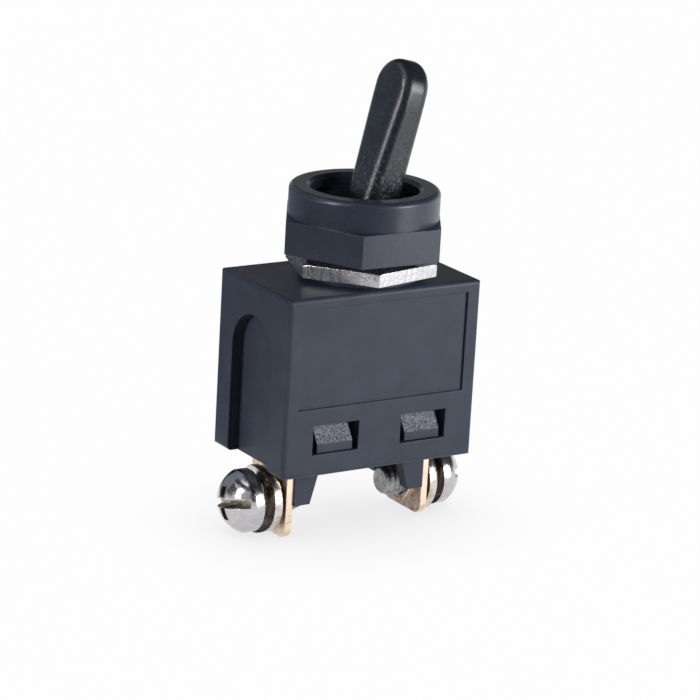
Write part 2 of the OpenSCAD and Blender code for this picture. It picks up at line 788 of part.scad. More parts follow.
// Round washer whose upper and lower parts are bent towards the screw's head
module clamp_washer(side) {
    reach = clamp_d / 2 + cut;
    lift = (reach - clamp_flat) * tan(clamp_bend);
    color("#b9b6b4") at_end(side) translate([clamp_x, 0, screw_z]) difference() {
        intersection() {
            through_y(clamp_d + cut) polygon([
                [lift, -reach], [0, -clamp_flat], [0, clamp_flat], [lift, reach],
                [lift + clamp_t, reach], [clamp_t, clamp_flat], [clamp_t, -clamp_flat],
                [lift + clamp_t, -reach]
            ]);
            rotate([0, 90, 0]) cylinder(d = clamp_d, h = 2 * head_x, center = true);
        }
        rotate([0, 90, 0])
            cylinder(d = screw_d + 2 * screw_play, h = 4 * clamp_t, center = true);
    }
}

case_shell();
terminal_base();
hex_nut();
bezel_nut();
lever();
lever_pin();
plunger();
plunger_spring();
rocker_blade();
moving_contact();
fixed_contact();
contact_terminal();
pivot_terminal();
terminal_screw(-1);  // terminal_screw_left
terminal_screw(1);  // terminal_screw_right
spring_washer(-1);  // spring_washer_left
spring_washer(1);  // spring_washer_right
clamp_washer(-1);  // clamp_washer_left
clamp_washer(1);  // clamp_washer_right
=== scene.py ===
"""Looks of a panel-mount toggle switch: moulded plastic, plated nuts and screws, brass terminals.

Lengths are in metres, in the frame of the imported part: the origin is on the neck's axis at the top
of the case, +Z runs up the neck and X runs from one terminal to the other.
"""
import math
from contextlib import contextmanager

import bmesh
import bpy
from mathutils import Matrix, Vector


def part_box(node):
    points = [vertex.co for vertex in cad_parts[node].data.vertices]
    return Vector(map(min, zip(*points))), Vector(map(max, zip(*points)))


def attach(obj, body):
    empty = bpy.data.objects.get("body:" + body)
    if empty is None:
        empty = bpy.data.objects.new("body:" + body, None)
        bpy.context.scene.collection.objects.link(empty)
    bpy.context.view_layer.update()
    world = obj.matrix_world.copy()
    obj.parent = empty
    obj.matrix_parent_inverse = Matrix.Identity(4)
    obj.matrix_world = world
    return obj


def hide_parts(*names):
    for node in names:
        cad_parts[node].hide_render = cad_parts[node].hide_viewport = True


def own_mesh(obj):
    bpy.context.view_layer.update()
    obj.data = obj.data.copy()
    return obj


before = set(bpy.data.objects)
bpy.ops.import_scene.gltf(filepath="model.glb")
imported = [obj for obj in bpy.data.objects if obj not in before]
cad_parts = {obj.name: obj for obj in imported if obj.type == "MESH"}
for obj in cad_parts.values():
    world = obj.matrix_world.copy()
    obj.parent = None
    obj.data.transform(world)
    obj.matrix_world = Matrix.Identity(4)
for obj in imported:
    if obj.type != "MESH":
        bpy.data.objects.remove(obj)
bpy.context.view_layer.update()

MM = 0.001

# Sizes that the pieces here share with the part's source
CASE_X = -1.05 * MM
CASE_FOOT_Z = -19.2 * MM
FLOOR_Z = -27.0 * MM
NECK_R = 6.0 * MM
COLLAR_H = 0.55 * MM
NECK_H = 7.6 * MM
PIVOT_Z = 3.45 * MM
LEVER_LEAN = math.radians(13.4)
PLUNGER_TOP = 5.8 * MM
PLUNGER_BORE_TOP = 1.8 * MM
SPRING_WIRE_R = 0.2 * MM
SPRING_R = 1.4 * MM
SPRING_TURNS = 5
SCREW_Z = -23.4 * MM
SCREW_R = 1.75 * MM
SCREW_HEAD_X = 11.15 * MM
SCREW_TIP_X = 5.05 * MM
SCREW_TIP_BEVEL = 0.5 * MM
SCREW_HEAD_R = 3.35 * MM
SCREW_HEAD_H = 3.3 * MM
SCREW_DOME_R = 3.651 * MM
WINDOW_FOOT_Z = -16.8 * MM
WINDOW_TOP_Z = -13.7 * MM
PANEL_FOOT_Z = -11.85 * MM
PANEL_TOP_Z = -1.25 * MM

# Threads: pitch, and the depth from crest to root
NECK_PITCH = 1.0 * MM
NECK_THREAD_DEPTH = 0.4 * MM
SCREW_PITCH = 0.6 * MM
SCREW_THREAD_DEPTH = 0.3 * MM

# Shares of a pitch that the neck's thread starts above the collar and ends below the neck's top
NECK_RUN_IN = 0.6
NECK_RUN_OUT = 0.4

# Widths by which edges are eased
CASE_EASE = 0.1 * MM
BASE_EASE = 0.09 * MM
NUT_EASE = 0.08 * MM
BEZEL_EASE = 0.2 * MM
LEVER_EASE = 0.12 * MM
STRIP_EASE = 0.07 * MM
SCREW_EASE = 0.09 * MM
WASHER_EASE = 0.07 * MM

# Meshes: gap of merged points, angle of joined faces, angles of eased and of creased edges, and the
# distance within which a point counts as on a surface
MERGE_GAP = 0.2e-6
FLAT_ANGLE = math.radians(0.4)
SHARP_ANGLE = math.radians(30)
CREASE_ANGLE = math.radians(40)
SKIN = 0.03 * MM

# Camera: its turn, tilt and roll, and where the middle of the case's top lies from the frame's middle
CAMERA_TURN = math.radians(-33.11)
CAMERA_TILT = math.radians(16.39)
CAMERA_ROLL = math.radians(-3.29)
CAMERA_DISTANCE = 352.47 * MM
CASE_TOP_RIGHT = 0.17 * MM
CASE_TOP_DOWN = -8.0 * MM
CAMERA_LENS = 174.23
CAMERA_SENSOR = 36
CAMERA_NEAR = 0.01
CAMERA_FAR = 20


# Materials

FINISHES = {}

# Range that most values of a noise fall in
NOISE_SPAN = (0.3, 0.7)

# Places of the colour sockets on a Mix node
MIX_DARK = 6
MIX_LIGHT = 7
MIX_RESULT = 2


def new_finish(name):
    """Keeps a new node material under its name; returns its tree and its Principled shader."""
    material = bpy.data.materials.new(name)
    material.use_nodes = True
    FINISHES[name] = material
    return material.node_tree, material.node_tree.nodes["Principled BSDF"]


def feed(tree, socket, value):
    """Links an input to another socket, or sets its value."""
    if isinstance(value, bpy.types.NodeSocket):
        tree.links.new(value, socket)
    else:
        socket.default_value = value


def add_node(tree, kind, inputs=(), **settings):
    """New node with its settings; inputs are named or numbered, and set to a value or linked."""
    node = tree.nodes.new(kind)
    for key, value in settings.items():
        setattr(node, key, value)
    for key, value in dict(inputs).items():
        feed(tree, node.inputs[key], value)
    return node


def set_shader(tree, shader, inputs):
    """Sets or links the shader's own sockets."""
    for key, value in inputs.items():
        feed(tree, shader.inputs[key], value)


def object_coords(tree, stretch=None):
    """Object coordinates, with an optional stretch along each axis."""
    coords = add_node(tree, "ShaderNodeTexCoord").outputs["Object"]
    if stretch is None:
        return coords
    return add_node(tree, "ShaderNodeMapping", {"Vector": coords, "Scale": stretch}).outputs["Vector"]


def noise(tree, coords, scale, detail=2.0, roughness=0.5):
    """Noise value; scale is in features per metre."""
    return add_node(tree, "ShaderNodeTexNoise", {
        "Vector": coords, "Scale": scale, "Detail": detail, "Roughness": roughness,
    }).outputs["Fac"]


def remap(tree, value, old, new=(0, 1)):
    """Value moved from an old range to a new one and held inside it."""
    return add_node(tree, "ShaderNodeMapRange", {
        "Value": value, "From Min": old[0], "From Max": old[1], "To Min": new[0], "To Max": new[1],
    }).outputs["Result"]


def multiply(tree, a, b):
    """Product of two values."""
    return add_node(tree, "ShaderNodeMath", {0: a, 1: b}, operation="MULTIPLY").outputs["Value"]


def blend_colours(tree, factor, dark, light):
    """Colour between dark and light; either may be a socket."""
    ends = [end if isinstance(end, bpy.types.NodeSocket) else (*end, 1) for end in (dark, light)]
    inputs = {"Factor": factor, MIX_DARK: ends[0], MIX_LIGHT: ends[1]}
    return add_node(tree, "ShaderNodeMix", inputs, data_type="RGBA").outputs[MIX_RESULT]


def tinted(colour, share):
    """Colour made lighter or darker by a share."""
    return tuple(c * share for c in colour)


def bump(tree, height, depth, strength=1.0, normal=None):
    """Normal of a surface that rises by depth, in metres, where height is 1."""
    inputs = {"Height": height, "Distance": depth, "Strength": strength}
    if normal is not None:
        inputs["Normal"] = normal
    return add_node(tree, "ShaderNodeBump", inputs).outputs["Normal"]


def moulded_plastic(name, colour, roughness, specular, grain_depth, mottle=0.12):
    """Dark moulded plastic: faint clouds of tone, and a fine grain from the mould's surface."""
    tree, shader = new_finish(name)
    coords = object_coords(tree)
    clouds = noise(tree, coords, scale=380, detail=3)
    grain = noise(tree, coords, scale=6500, detail=2, roughness=0.6)
    tone = remap(tree, clouds, NOISE_SPAN)
    set_shader(tree, shader, {
        "Base Color": blend_colours(tree, tone, tinted(colour, 1 - mottle), tinted(colour, 1 + mottle)),
        "Roughness": remap(tree, grain, NOISE_SPAN, (roughness - 0.06, roughness + 0.06)),
        "Specular IOR Level": specular,
        "Normal": bump(tree, grain, grain_depth),
    })


def scuffed_plastic(name, colour, scuff_colour, roughness, specular, fade, left_at_tip):
    """Moulded plastic with coarse scuffs that fade upwards, between two heights, to what is left."""
    tree, shader = new_finish(name)
    coords = object_coords(tree)
    height = add_node(tree, "ShaderNodeSeparateXYZ", {"Vector": coords}).outputs["Z"]
    root = remap(tree, height, fade, (1, left_at_tip))
    grain = noise(tree, coords, scale=5200, detail=3, roughness=0.65)
    scuffs = noise(tree, coords, scale=2800, detail=3, roughness=0.65)
    clouds = remap(tree, noise(tree, coords, scale=520, detail=3), NOISE_SPAN)
    marks = multiply(tree, remap(tree, scuffs, (0.54, 0.64)), root)
    ground = blend_colours(tree, clouds, tinted(colour, 0.7), tinted(colour, 1.3))
    moulded = bump(tree, grain, depth=9e-6)
    set_shader(tree, shader, {
        "Base Color": blend_colours(tree, marks, ground, scuff_colour),
        "Roughness": remap(tree, grain, NOISE_SPAN, (roughness - 0.05, roughness + 0.08)),
        "Specular IOR Level": specular,
        "Normal": bump(tree, scuffs, depth=45e-6, strength=multiply(tree, root, 0.8), normal=moulded),
    })


def eroded_plastic(name, dark, light, roughness, specular):
    """Moulding with the coarse pale mottling of an eroded mould face, as on the snap hooks."""
    tree, shader = new_finish(name)
    spots = noise(tree, object_coords(tree), scale=5200, detail=3, roughness=0.7)
    set_shader(tree, shader, {
        "Base Color": blend_colours(tree, remap(tree, spots, (0.38, 0.64)), dark, light),
        "Roughness": roughness,
        "Specular IOR Level": specular,
        "Normal": bump(tree, spots, depth=60e-6),
    })


def plated_metal(name, colour, roughness, waves_depth, stretch=None, streak_depth=0.0, pit_depth=0.0,
                 stain=None):
    """Plate or bare metal: shallow waves, scratches along a direction, coarse pits and dull patches."""
    tree, shader = new_finish(name)
    coords = object_coords(tree)
    waves = noise(tree, coords, scale=700, detail=2)
    patches = noise(tree, coords, scale=1500, detail=4, roughness=0.65)
    scratches = noise(tree, object_coords(tree, stretch), scale=5200, detail=3, roughness=0.6)
    normal = bump(tree, waves, waves_depth)
    if streak_depth:
        normal = bump(tree, scratches, streak_depth, normal=normal)
    if pit_depth:
        pits = noise(tree, coords, scale=2900, detail=3, roughness=0.6)
        normal = bump(tree, pits, pit_depth, normal=normal)
    dull = remap(tree, patches, (0.4, 0.7))
    worn = multiply(tree, scratches, patches)
    set_shader(tree, shader, {
        "Base Color": blend_colours(tree, dull, colour, stain or tinted(colour, 0.82)),
        "Metallic": 1.0,
        "Roughness": remap(tree, worn, (0.15, 0.4), (roughness - 0.06, roughness + 0.12)),
        "Normal": normal,
    })


def natural_nylon(name, colour, roughness):
    """Pale nylon with a little light inside it."""
    tree, shader = new_finish(name)
    grain = noise(tree, object_coords(tree), scale=4000, detail=2)
    set_shader(tree, shader, {
        "Base Color": blend_colours(tree, grain, tinted(colour, 0.9), colour),
        "Roughness": roughness,
        "Subsurface Weight": 0.2,
        "Subsurface Scale": 0.5 * MM,
        "Normal": bump(tree, grain, depth=3e-6),
    })


# Scale of the scratches along the axes, which makes them run along Z, or along X and Z
UPRIGHT = (1, 1, 0.03)
ROLLED = (0.05, 1, 0.05)


def make_finishes():
    """Every finish of the switch; depths are in metres."""
    moulded_plastic("case_plastic", (0.0448, 0.0545, 0.082), roughness=0.42, specular=0.28,
                    grain_depth=9e-6)
    moulded_plastic("base_plastic", (0.045, 0.053, 0.078), roughness=0.5, specular=0.28,
                    grain_depth=11e-6)
    eroded_plastic("hook_grain", dark=(0.035, 0.04, 0.055), light=(0.31, 0.335, 0.41), roughness=0.6,
                   specular=0.3)
    moulded_plastic("bezel_plastic", (0.037, 0.0465, 0.075), roughness=0.32, specular=0.55,
                    grain_depth=7e-6, mottle=0.08)
    scuffed_plastic("lever_plastic", (0.016, 0.021, 0.030), scuff_colour=(0.15, 0.165, 0.185),
                    roughness=0.28, specular=0.6, fade=(9 * MM, 14 * MM), left_at_tip=0.15)
    plated_metal("nut_plate", (0.69, 0.68, 0.715), roughness=0.28, waves_depth=10e-6, stretch=UPRIGHT,
                 streak_depth=6e-6, pit_depth=55e-6)
    plated_metal("screw_plate", (0.60, 0.585, 0.595), roughness=0.18, waves_depth=40e-6)
    # Screw recess: painted shade in the slot and cross, with a yellowish stain
    plated_metal("recess_stain_and_shade", (0.44, 0.40, 0.34), roughness=0.30, waves_depth=14e-6,
                 pit_depth=30e-6, stain=(0.14, 0.12, 0.085))
    plated_metal("screw_end", (0.40, 0.40, 0.41), roughness=0.45, waves_depth=14e-6, pit_depth=60e-6,
                 stain=(0.20, 0.195, 0.19))
    plated_metal("washer_plate", (0.74, 0.69, 0.66), roughness=0.22, waves_depth=26e-6,
                 stain=(0.44, 0.36, 0.31))
    # Split washers: a dark metal that is painted shade of the gap between head and clamp washer
    plated_metal("split_plate_painted_shade", (0.14, 0.11, 0.095), roughness=0.34, waves_depth=14e-6,
                 stain=(0.06, 0.045, 0.036))
    # Darker stained brass, which on the terminals' undersides is painted shade
    plated_metal("terminal_brass", (0.42, 0.32, 0.27), roughness=0.34, waves_depth=10e-6,
                 stretch=ROLLED, streak_depth=8e-6, stain=(0.17, 0.12, 0.085))
    plated_metal("sheared_brass", (0.88, 0.75, 0.60), roughness=0.32, waves_depth=8e-6,
                 stretch=ROLLED, streak_depth=8e-6, stain=(0.66, 0.52, 0.37))
    plated_metal("blade_brass", (0.80, 0.60, 0.36), roughness=0.28, waves_depth=6e-6, stretch=ROLLED,
                 streak_depth=6e-6)
    plated_metal("contact_silver", (0.86, 0.86, 0.85), roughness=0.22, waves_depth=5e-6)
    plated_metal("pin_steel", (0.66, 0.66, 0.68), roughness=0.25, waves_depth=4e-6)
    plated_metal("spring_steel", (0.56, 0.56, 0.58), roughness=0.24, waves_depth=3e-6)
    natural_nylon("plunger_nylon", (0.80, 0.77, 0.68), roughness=0.38)


# Shapes

AXES = {"y": Vector((0, 1, 0)), "z": Vector((0, 0, 1))}

# Share of a wound bar's thickness that is left at its tapered ends
BAR_TIP = 0.05


def new_object(name, data):
    """New object in the scene."""
    thing = bpy.data.objects.new(name, data)
    bpy.context.scene.collection.objects.link(thing)
    return thing


@contextmanager
def edited(mesh):
    """The mesh opened for editing, and written back afterwards."""
    form = bmesh.new()
    form.from_mesh(mesh)
    yield form
    form.to_mesh(mesh)
    form.free()


def merged_copy(node, name, cuts=()):
    """New object with the node's mesh, its doubled points merged and its flat faces joined.

    Each cut is a plane, as its axis and its place on it. The lines of the cuts stay, so that a flat
    face with an opening is split into plain parts, whose edges ease cleanly.
    """
    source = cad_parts[node].data
    mesh = bpy.data.meshes.new(name)
    with edited(mesh) as form:
        points = [form.verts.new(v.co) for v in source.vertices]
        for face in source.polygons:
            form.faces.new([points[i] for i in face.vertices])
        bmesh.ops.remove_doubles(form, verts=form.verts, dist=MERGE_GAP)
        for axis, place in cuts:
            across = AXES[axis]
            parts = form.verts[:] + form.edges[:] + form.faces[:]
            split = bmesh.ops.bisect_plane(form, geom=parts, dist=MERGE_GAP, plane_co=across * place,
                                           plane_no=across)
            for part in split["geom_cut"]:
                if isinstance(part, bmesh.types.BMEdge):
                    part.seam = True
        bmesh.ops.dissolve_limit(form, angle_limit=FLAT_ANGLE, verts=form.verts, edges=form.edges,
                                 delimit={"SEAM"})
    return new_object(name, mesh)


def made_plain(piece):
    """Turns the piece's modifiers into plain mesh."""
    depsgraph = bpy.context.evaluated_depsgraph_get()
    mesh = bpy.data.meshes.new_from_object(piece.evaluated_get(depsgraph), depsgraph=depsgraph)
    mesh.name = piece.name
    piece.modifiers.clear()
    piece.data = mesh
    return piece


def weigh_edges(piece, shows):
    """Marks, for easing, the sharp edges whose middle is a place that shows."""
    with edited(piece.data) as form:
        weight = form.edges.layers.float.new("bevel_weight_edge")
        for edge in form.edges:
            middle = (edge.verts[0].co + edge.verts[1].co) / 2
            if shows(middle) and edge.calc_face_angle(0) > SHARP_ANGLE:
                edge[weight] = 1


def eased(piece, width, segments=2, shows=None):
    """Rounds the piece's sharp edges by a small width and evens out its shading.

    Where shows is given, it tells for a point whether an edge there is rounded.
    """
    if shows:
        weigh_edges(piece, shows)
    ease = piece.modifiers.new("ease", "BEVEL")
    ease.width = width
    ease.segments = segments
    ease.limit_method = "WEIGHT" if shows else "ANGLE"
    ease.use_clamp_overlap = shows is None
    ease.angle_limit = SHARP_ANGLE
    ease.miter_outer = "MITER_ARC"
    made_plain(piece)
    with edited(piece.data) as form:
        bmesh.ops.remove_doubles(form, verts=form.verts, dist=MERGE_GAP)
    for face in piece.data.polygons:
        face.use_smooth = True
    piece.data.set_sharp_from_angle(angle=CREASE_ANGLE)
    even = piece.modifiers.new("even", "WEIGHTED_NORMAL")
    even.keep_sharp = True
    return made_plain(piece)


def coat(piece, *finishes):
    """Gives a piece its finishes, the first one all over."""
    for finish in finishes:
        piece.data.materials.append(FINISHES[finish])


def dress(piece, slot, body, *nodes):
    """Attaches a piece to its body and hides the nodes that it stands for.

    A piece that has no finish yet gets the one named as the slot.
    """
    if not piece.data.materials:
        coat(piece, slot)
    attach(piece, body)
    if nodes:
        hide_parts(*nodes)


def eased_node(node, name, slot, body, width, segments=2):
    """Piece that is the node's own shape with its edges eased."""
    dress(eased(merged_copy(node, name), width, segments), slot, body, node)


def wound_bar_tree():
    """Geometry Nodes: a bar with flat or round sides, wound about Z, with its ends tapered off."""
    tree = bpy.data.node_groups.new("wound_bar", "GeometryNodeTree")
    tree.interface.new_socket("Geometry", in_out="OUTPUT", socket_type="NodeSocketGeometry")
    for label, kind in (("Coil Radius", "Float"), ("Bar Radius", "Float"), ("Height", "Float"),
                        ("Turns", "Float"), ("Steps per Turn", "Int"), ("Bar Sides", "Int"),
                        ("End Taper", "Float"), ("Finish", "Material")):
        tree.interface.new_socket(label, in_out="INPUT", socket_type="NodeSocket" + kind)
    sizes = tree.nodes.new("NodeGroupInput").outputs
    path = add_node(tree, "GeometryNodeCurveSpiral", {
        "Resolution": sizes["Steps per Turn"], "Rotations": sizes["Turns"],
        "Start Radius": sizes["Coil Radius"], "End Radius": sizes["Coil Radius"],
        "Height": sizes["Height"],
    })
    upright = add_node(tree, "GeometryNodeSetCurveNormal", {"Curve": path.outputs["Curve"]}, mode="Z_UP")
    section = add_node(tree, "GeometryNodeCurvePrimitiveCircle", {
        "Resolution": sizes["Bar Sides"], "Radius": sizes["Bar Radius"],
    })
    along = tree.nodes.new("GeometryNodeSplineParameter").outputs["Factor"]
    from_end = add_node(tree, "ShaderNodeMath", {0: along, 1: 0.5}, operation="PINGPONG")
    taper = add_node(tree, "ShaderNodeMapRange", {
        "Value": from_end.outputs["Value"], "From Max": sizes["End Taper"], "To Min": BAR_TIP,
    })
    bar = add_node(tree, "GeometryNodeCurveToMesh", {
        "Curve": upright.outputs["Curve"], "Profile Curve": section.outputs["Curve"],
        "Scale": taper.outputs["Result"], "Fill Caps": True,
    })
    real = add_node(tree, "GeometryNodeRealizeInstances", {"Geometry": bar.outputs["Mesh"]})
    coated = add_node(tree, "GeometryNodeSetMaterial", {
        "Geometry": real.outputs["Geometry"], "Material": sizes["Finish"],
    })
    add_node(tree, "NodeGroupOutput", {"Geometry": coated.outputs["Geometry"]})
    return tree


def wound_bar(name, tree, place, finish, sizes, smooth=False):
    """Piece from the wound bar tree, put in place by a matrix; sizes are the tree's inputs by name."""
    piece = new_object(name, bpy.data.meshes.new(name))
    winding = piece.modifiers.new("winding", "NODES")
    winding.node_group = tree
    values = {**sizes, "Finish": FINISHES[finish]}
    for socket in tree.interface.items_tree:
        if socket.in_out == "INPUT":
            winding[socket.identifier] = values[socket.name]
    made_plain(piece)
    with edited(piece.data) as form:
        bmesh.ops.recalc_face_normals(form, faces=form.faces)
    piece.data.transform(place)
    for face in piece.data.polygons:
        face.use_smooth = smooth
    return piece


def shrink_round(piece, centre, axis, radius, new_radius, low, high):
    """Moves the points that lie on a cylinder, between two heights along its axis, to a new radius."""
    for vertex in piece.data.vertices:
        arm = vertex.co - centre
        height = arm.dot(axis)
        out = arm - axis * height
        if low < height < high and abs(out.length - radius) < SKIN:
            vertex.co = centre + axis * height + out * (new_radius / radius)


# Case and base

CASE_LOW, CASE_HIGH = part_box("case_shell")

# The base's hooks reach further out than this, and its legs lie lower than this
HOOK_ROOT_Y = 5.6 * MM
LEG_TOP_Z = CASE_FOOT_Z - 0.15 * MM

# The sloping face of a hook has a normal that rises and leans out by more than these
SLOPE_RISE = 0.2
SLOPE_LEAN = 0.4


def case_shows(place):
    """Whether a point of the case is on the outer face of one of its four walls."""
    depths = (place.x - CASE_LOW[0], CASE_HIGH[0] - place.x,
              place.y - CASE_LOW[1], CASE_HIGH[1] - place.y)
    return place.z < 0 and min(depths) < SKIN


def moulded_case():
    """The case; its neck is cut down to the root of the thread that is wound on it."""
    cuts = [("z", level) for level in (PANEL_TOP_Z, PANEL_FOOT_Z, WINDOW_TOP_Z, WINDOW_FOOT_Z)]
    piece = merged_copy("case_shell", "moulded_case", cuts)
    shrink_round(piece, Vector(), AXES["z"], NECK_R, NECK_R - NECK_THREAD_DEPTH,
                 COLLAR_H - SKIN, NECK_H + SKIN)
    eased(piece, CASE_EASE, shows=case_shows)
    dress(piece, "case_plastic", "housing", "case_shell")


def neck_thread(tree):
    """Ridge of the neck's thread."""
    low = COLLAR_H + NECK_RUN_IN * NECK_PITCH
    high = NECK_H - NECK_RUN_OUT * NECK_PITCH
    piece = wound_bar("neck_thread", tree, Matrix.Translation((0, 0, low)), "case_plastic", {
        "Coil Radius": NECK_R - NECK_THREAD_DEPTH, "Bar Radius": NECK_THREAD_DEPTH,
        "Height": high - low, "Turns": (high - low) / NECK_PITCH,
        "Steps per Turn": 72, "Bar Sides": 4, "End Taper": 0.06,
    })
    dress(piece, "case_plastic", "housing")


def base_shows(place):
    """Whether a point of the base is on a hook or on a leg, and so outside the case."""
    on_hook = abs(place.y) > HOOK_ROOT_Y and WINDOW_FOOT_Z < place.z < WINDOW_TOP_Z
    return on_hook or place.z < LEG_TOP_Z


def snap_in_base():
    """The base; the sloping faces of its hooks have an eroded grain."""
    piece = eased(merged_copy("terminal_base", "snap_in_base"), BASE_EASE, shows=base_shows)
    coat(piece, "base_plastic", "hook_grain")
    for face in piece.data.polygons:
        in_window = WINDOW_FOOT_Z < face.center.z < WINDOW_TOP_Z
        slopes = face.normal.z > SLOPE_RISE and abs(face.normal.y) > SLOPE_LEAN
        if in_window and slopes:
            face.material_index = 1
    dress(piece, "base_plastic", "housing", "terminal_base")


# Terminals

# Ends of the switch, and the way that each faces along X
ENDS = {"left": -1, "right": 1}

# A face looks along an axis when its normal does so by more than this
FACING = 0.5

# A screw's slot and cross lie higher than this on its head, and its recess's painted shade and its stains
# start past its eased edges
RECESS_FOOT_H = 0.9 * MM
PAST_EASE = SCREW_EASE + 0.01 * MM


def terminal_strip(node, name, side):
    """A terminal; its inner faces are stained and its undersides take the same darker brass as painted
    shade, and its outer face and sheared sides are bright.
    """
    strip = eased(merged_copy(node, name, [("y", 0)]), STRIP_EASE)
    coat(strip, "terminal_brass", "sheared_brass")
    for face in strip.data.polygons:
        # Faces that don't look out or sideways keep the darker stained brass; on the undersides it is
        # painted shade
        if abs(face.normal.y) > FACING or face.normal.x * side > FACING:
            face.material_index = 1
    dress(strip, "terminal_brass", "housing", node)


def stain_and_shade_screw(screw, foot, axis):
    """Gives the recess, which lies below the dome of the head, a darker yellowish finish that is painted
    shade with a stain in it, and the screw's end its own stain.
    """
    coat(screw, "screw_plate", "recess_stain_and_shade", "screw_end")
    dome_centre = foot + axis * (SCREW_HEAD_H - SCREW_DOME_R)
    for face in screw.data.polygons:
        arm = face.center - foot
        height = arm.dot(axis)
        inside_rim = (arm - axis * height).length < SCREW_HEAD_R - PAST_EASE
        below_dome = (face.center - dome_centre).length < SCREW_DOME_R - PAST_EASE
        # Faces in the recess take the darker finish: painted shade with a yellowish stain
        if height > RECESS_FOOT_H and inside_rim and below_dome:
            face.material_index = 1
        elif height < -PAST_EASE:
            face.material_index = 2


def terminal_screw(end, side, tree):
    """A screw that is cut down to the root of its thread, with the thread wound on."""
    axis = Vector((side, 0, 0))
    centre = Vector((CASE_X, 0, SCREW_Z))
    screw = merged_copy(f"terminal_screw_{end}", f"screw_{end}")
    shrink_round(screw, centre, axis, SCREW_R, SCREW_R - SCREW_THREAD_DEPTH,
                 SCREW_TIP_X + SKIN, SCREW_HEAD_X - SKIN)
    eased(screw, SCREW_EASE)
    stain_and_shade_screw(screw, centre + axis * SCREW_HEAD_X, axis)
    dress(screw, "screw_plate", "housing", f"terminal_screw_{end}")
    length = SCREW_HEAD_X - SCREW_TIP_X - 2 * SCREW_TIP_BEVEL
    outwards = Matrix.Translation(centre) @ axis.to_track_quat("Z", "Y").to_matrix().to_4x4()
    start = Matrix.Translation((0, 0, SCREW_TIP_X + SCREW_TIP_BEVEL))
    thread = wound_bar(f"screw_thread_{end}", tree, outwards @ start, "screw_end", {
        "Coil Radius": SCREW_R - SCREW_THREAD_DEPTH, "Bar Radius": SCREW_THREAD_DEPTH,
        "Height": length, "Turns": length / SCREW_PITCH,
        "Steps per Turn": 48, "Bar Sides": 4, "End Taper": 0.05,
    })
    dress(thread, "screw_plate", "housing")


def split_washer(node, name):
    """A split washer, painted darker than the plate beside it as the shade of the gap under the head."""
    washer = eased(merged_copy(node, name), WASHER_EASE)
    coat(washer, "split_plate_painted_shade")
    dress(washer, "washer_plate", "housing", node)


# Inside the case

def plunger_coil(tree):
    """Spring behind the plunger, wound at one length and attached to the lever's body."""
    lean = Matrix.Translation((0, 0, PIVOT_Z)) @ Matrix.Rotation(LEVER_LEAN, 4, "Y")
    foot = Matrix.Translation((0, 0, SPRING_WIRE_R - PLUNGER_TOP))
    length = PLUNGER_TOP - PLUNGER_BORE_TOP
    piece = wound_bar("plunger_coil", tree, lean @ foot, "spring_steel", {
        "Coil Radius": SPRING_R, "Bar Radius": SPRING_WIRE_R,
        "Height": length - 2 * SPRING_WIRE_R, "Turns": SPRING_TURNS,
        "Steps per Turn": 32, "Bar Sides": 12, "End Taper": 0.001,
    }, smooth=True)
    dress(piece, "spring_steel", "lever", "plunger_spring")
    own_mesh(piece)


def finish_hidden_nodes():
    """Finishes of the solids that stay as they are, inside the case."""
    for node, finish in (("lever_pin", "pin_steel"), ("plunger", "plunger_nylon"),
                         ("rocker_blade", "blade_brass"), ("moving_contact", "contact_silver"),
                         ("fixed_contact", "contact_silver")):
        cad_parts[node].data.materials.clear()
        coat(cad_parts[node], finish)


# Studio

WHITE = (1, 1, 1)

# World: its tone overhead in gloss, the rises between which it falls to that, and its even light
SKY_TONE = (0.05, 0.05, 0.055)
SKY_FADE = (0.03, 0.25)
EVEN_LIGHT = 0.06

# Floor: half its width, its own grey, the share that it glows, and the reach and tone of the shadow
# painted into its glow
FLOOR_HALF = 1.5
FLOOR_GREY = (0.3, 0.3, 0.3, 1)
FLOOR_GLOW = 0.985
PAINTED_SHADOW_REACH = 14 * MM
PAINTED_SHADOW_TONE = (0.78, 0.78, 0.795)

# Cards: steps along the curve, their own black, and the colour of those that glow a little, a painted glow
# seen only in reflections
CARD_STEPS = 24
CARD_BLACK = (0.03, 0.03, 0.033, 1)
CARD_REFLECTED_GLOW = (0.88, 1.0, 1.2, 1)

# Sockets of a surface without any shine
MATT = {"Roughness": 0.9, "Specular IOR Level": 0.0}


def seen_rays(tree):
    """Factor that is 1 for camera, glossy and transmission rays, and 0 for light on the object."""
    path = tree.nodes.new("ShaderNodeLightPath").outputs
    total = path["Is Camera Ray"]
    for other in ("Is Glossy Ray", "Is Transmission Ray"):
        inputs = {0: total, 1: path[other]}
        total = add_node(tree, "ShaderNodeMath", inputs, operation="ADD", use_clamp=True).outputs["Value"]
    return total


def studio_world():
    """White to the camera, white at the horizon and dim overhead in gloss, and a low even light."""
    world = bpy.data.worlds.new("studio")
    bpy.context.scene.world = world
    world.use_nodes = True
    tree = world.node_tree
    tree.nodes.clear()
    direction = tree.nodes.new("ShaderNodeTexCoord").outputs["Generated"]
    rise = add_node(tree, "ShaderNodeSeparateXYZ", {"Vector": direction}).outputs["Z"]
    camera_ray = tree.nodes.new("ShaderNodeLightPath").outputs["Is Camera Ray"]
    other_ray = remap(tree, camera_ray, (0, 1), (1, 0))
    overhead = multiply(tree, remap(tree, rise, SKY_FADE), other_ray)
    seen = add_node(tree, "ShaderNodeBackground", {
        "Color": blend_colours(tree, overhead, WHITE, SKY_TONE), "Strength": 1.0,
    })
    light = add_node(tree, "ShaderNodeBackground", {"Color": (*WHITE, 1), "Strength": EVEN_LIGHT})
    mix = add_node(tree, "ShaderNodeMixShader", {
        "Fac": seen_rays(tree), 1: light.outputs["Background"], 2: seen.outputs["Background"],
    })
    add_node(tree, "ShaderNodeOutputWorld", {"Surface": mix.outputs["Shader"]})


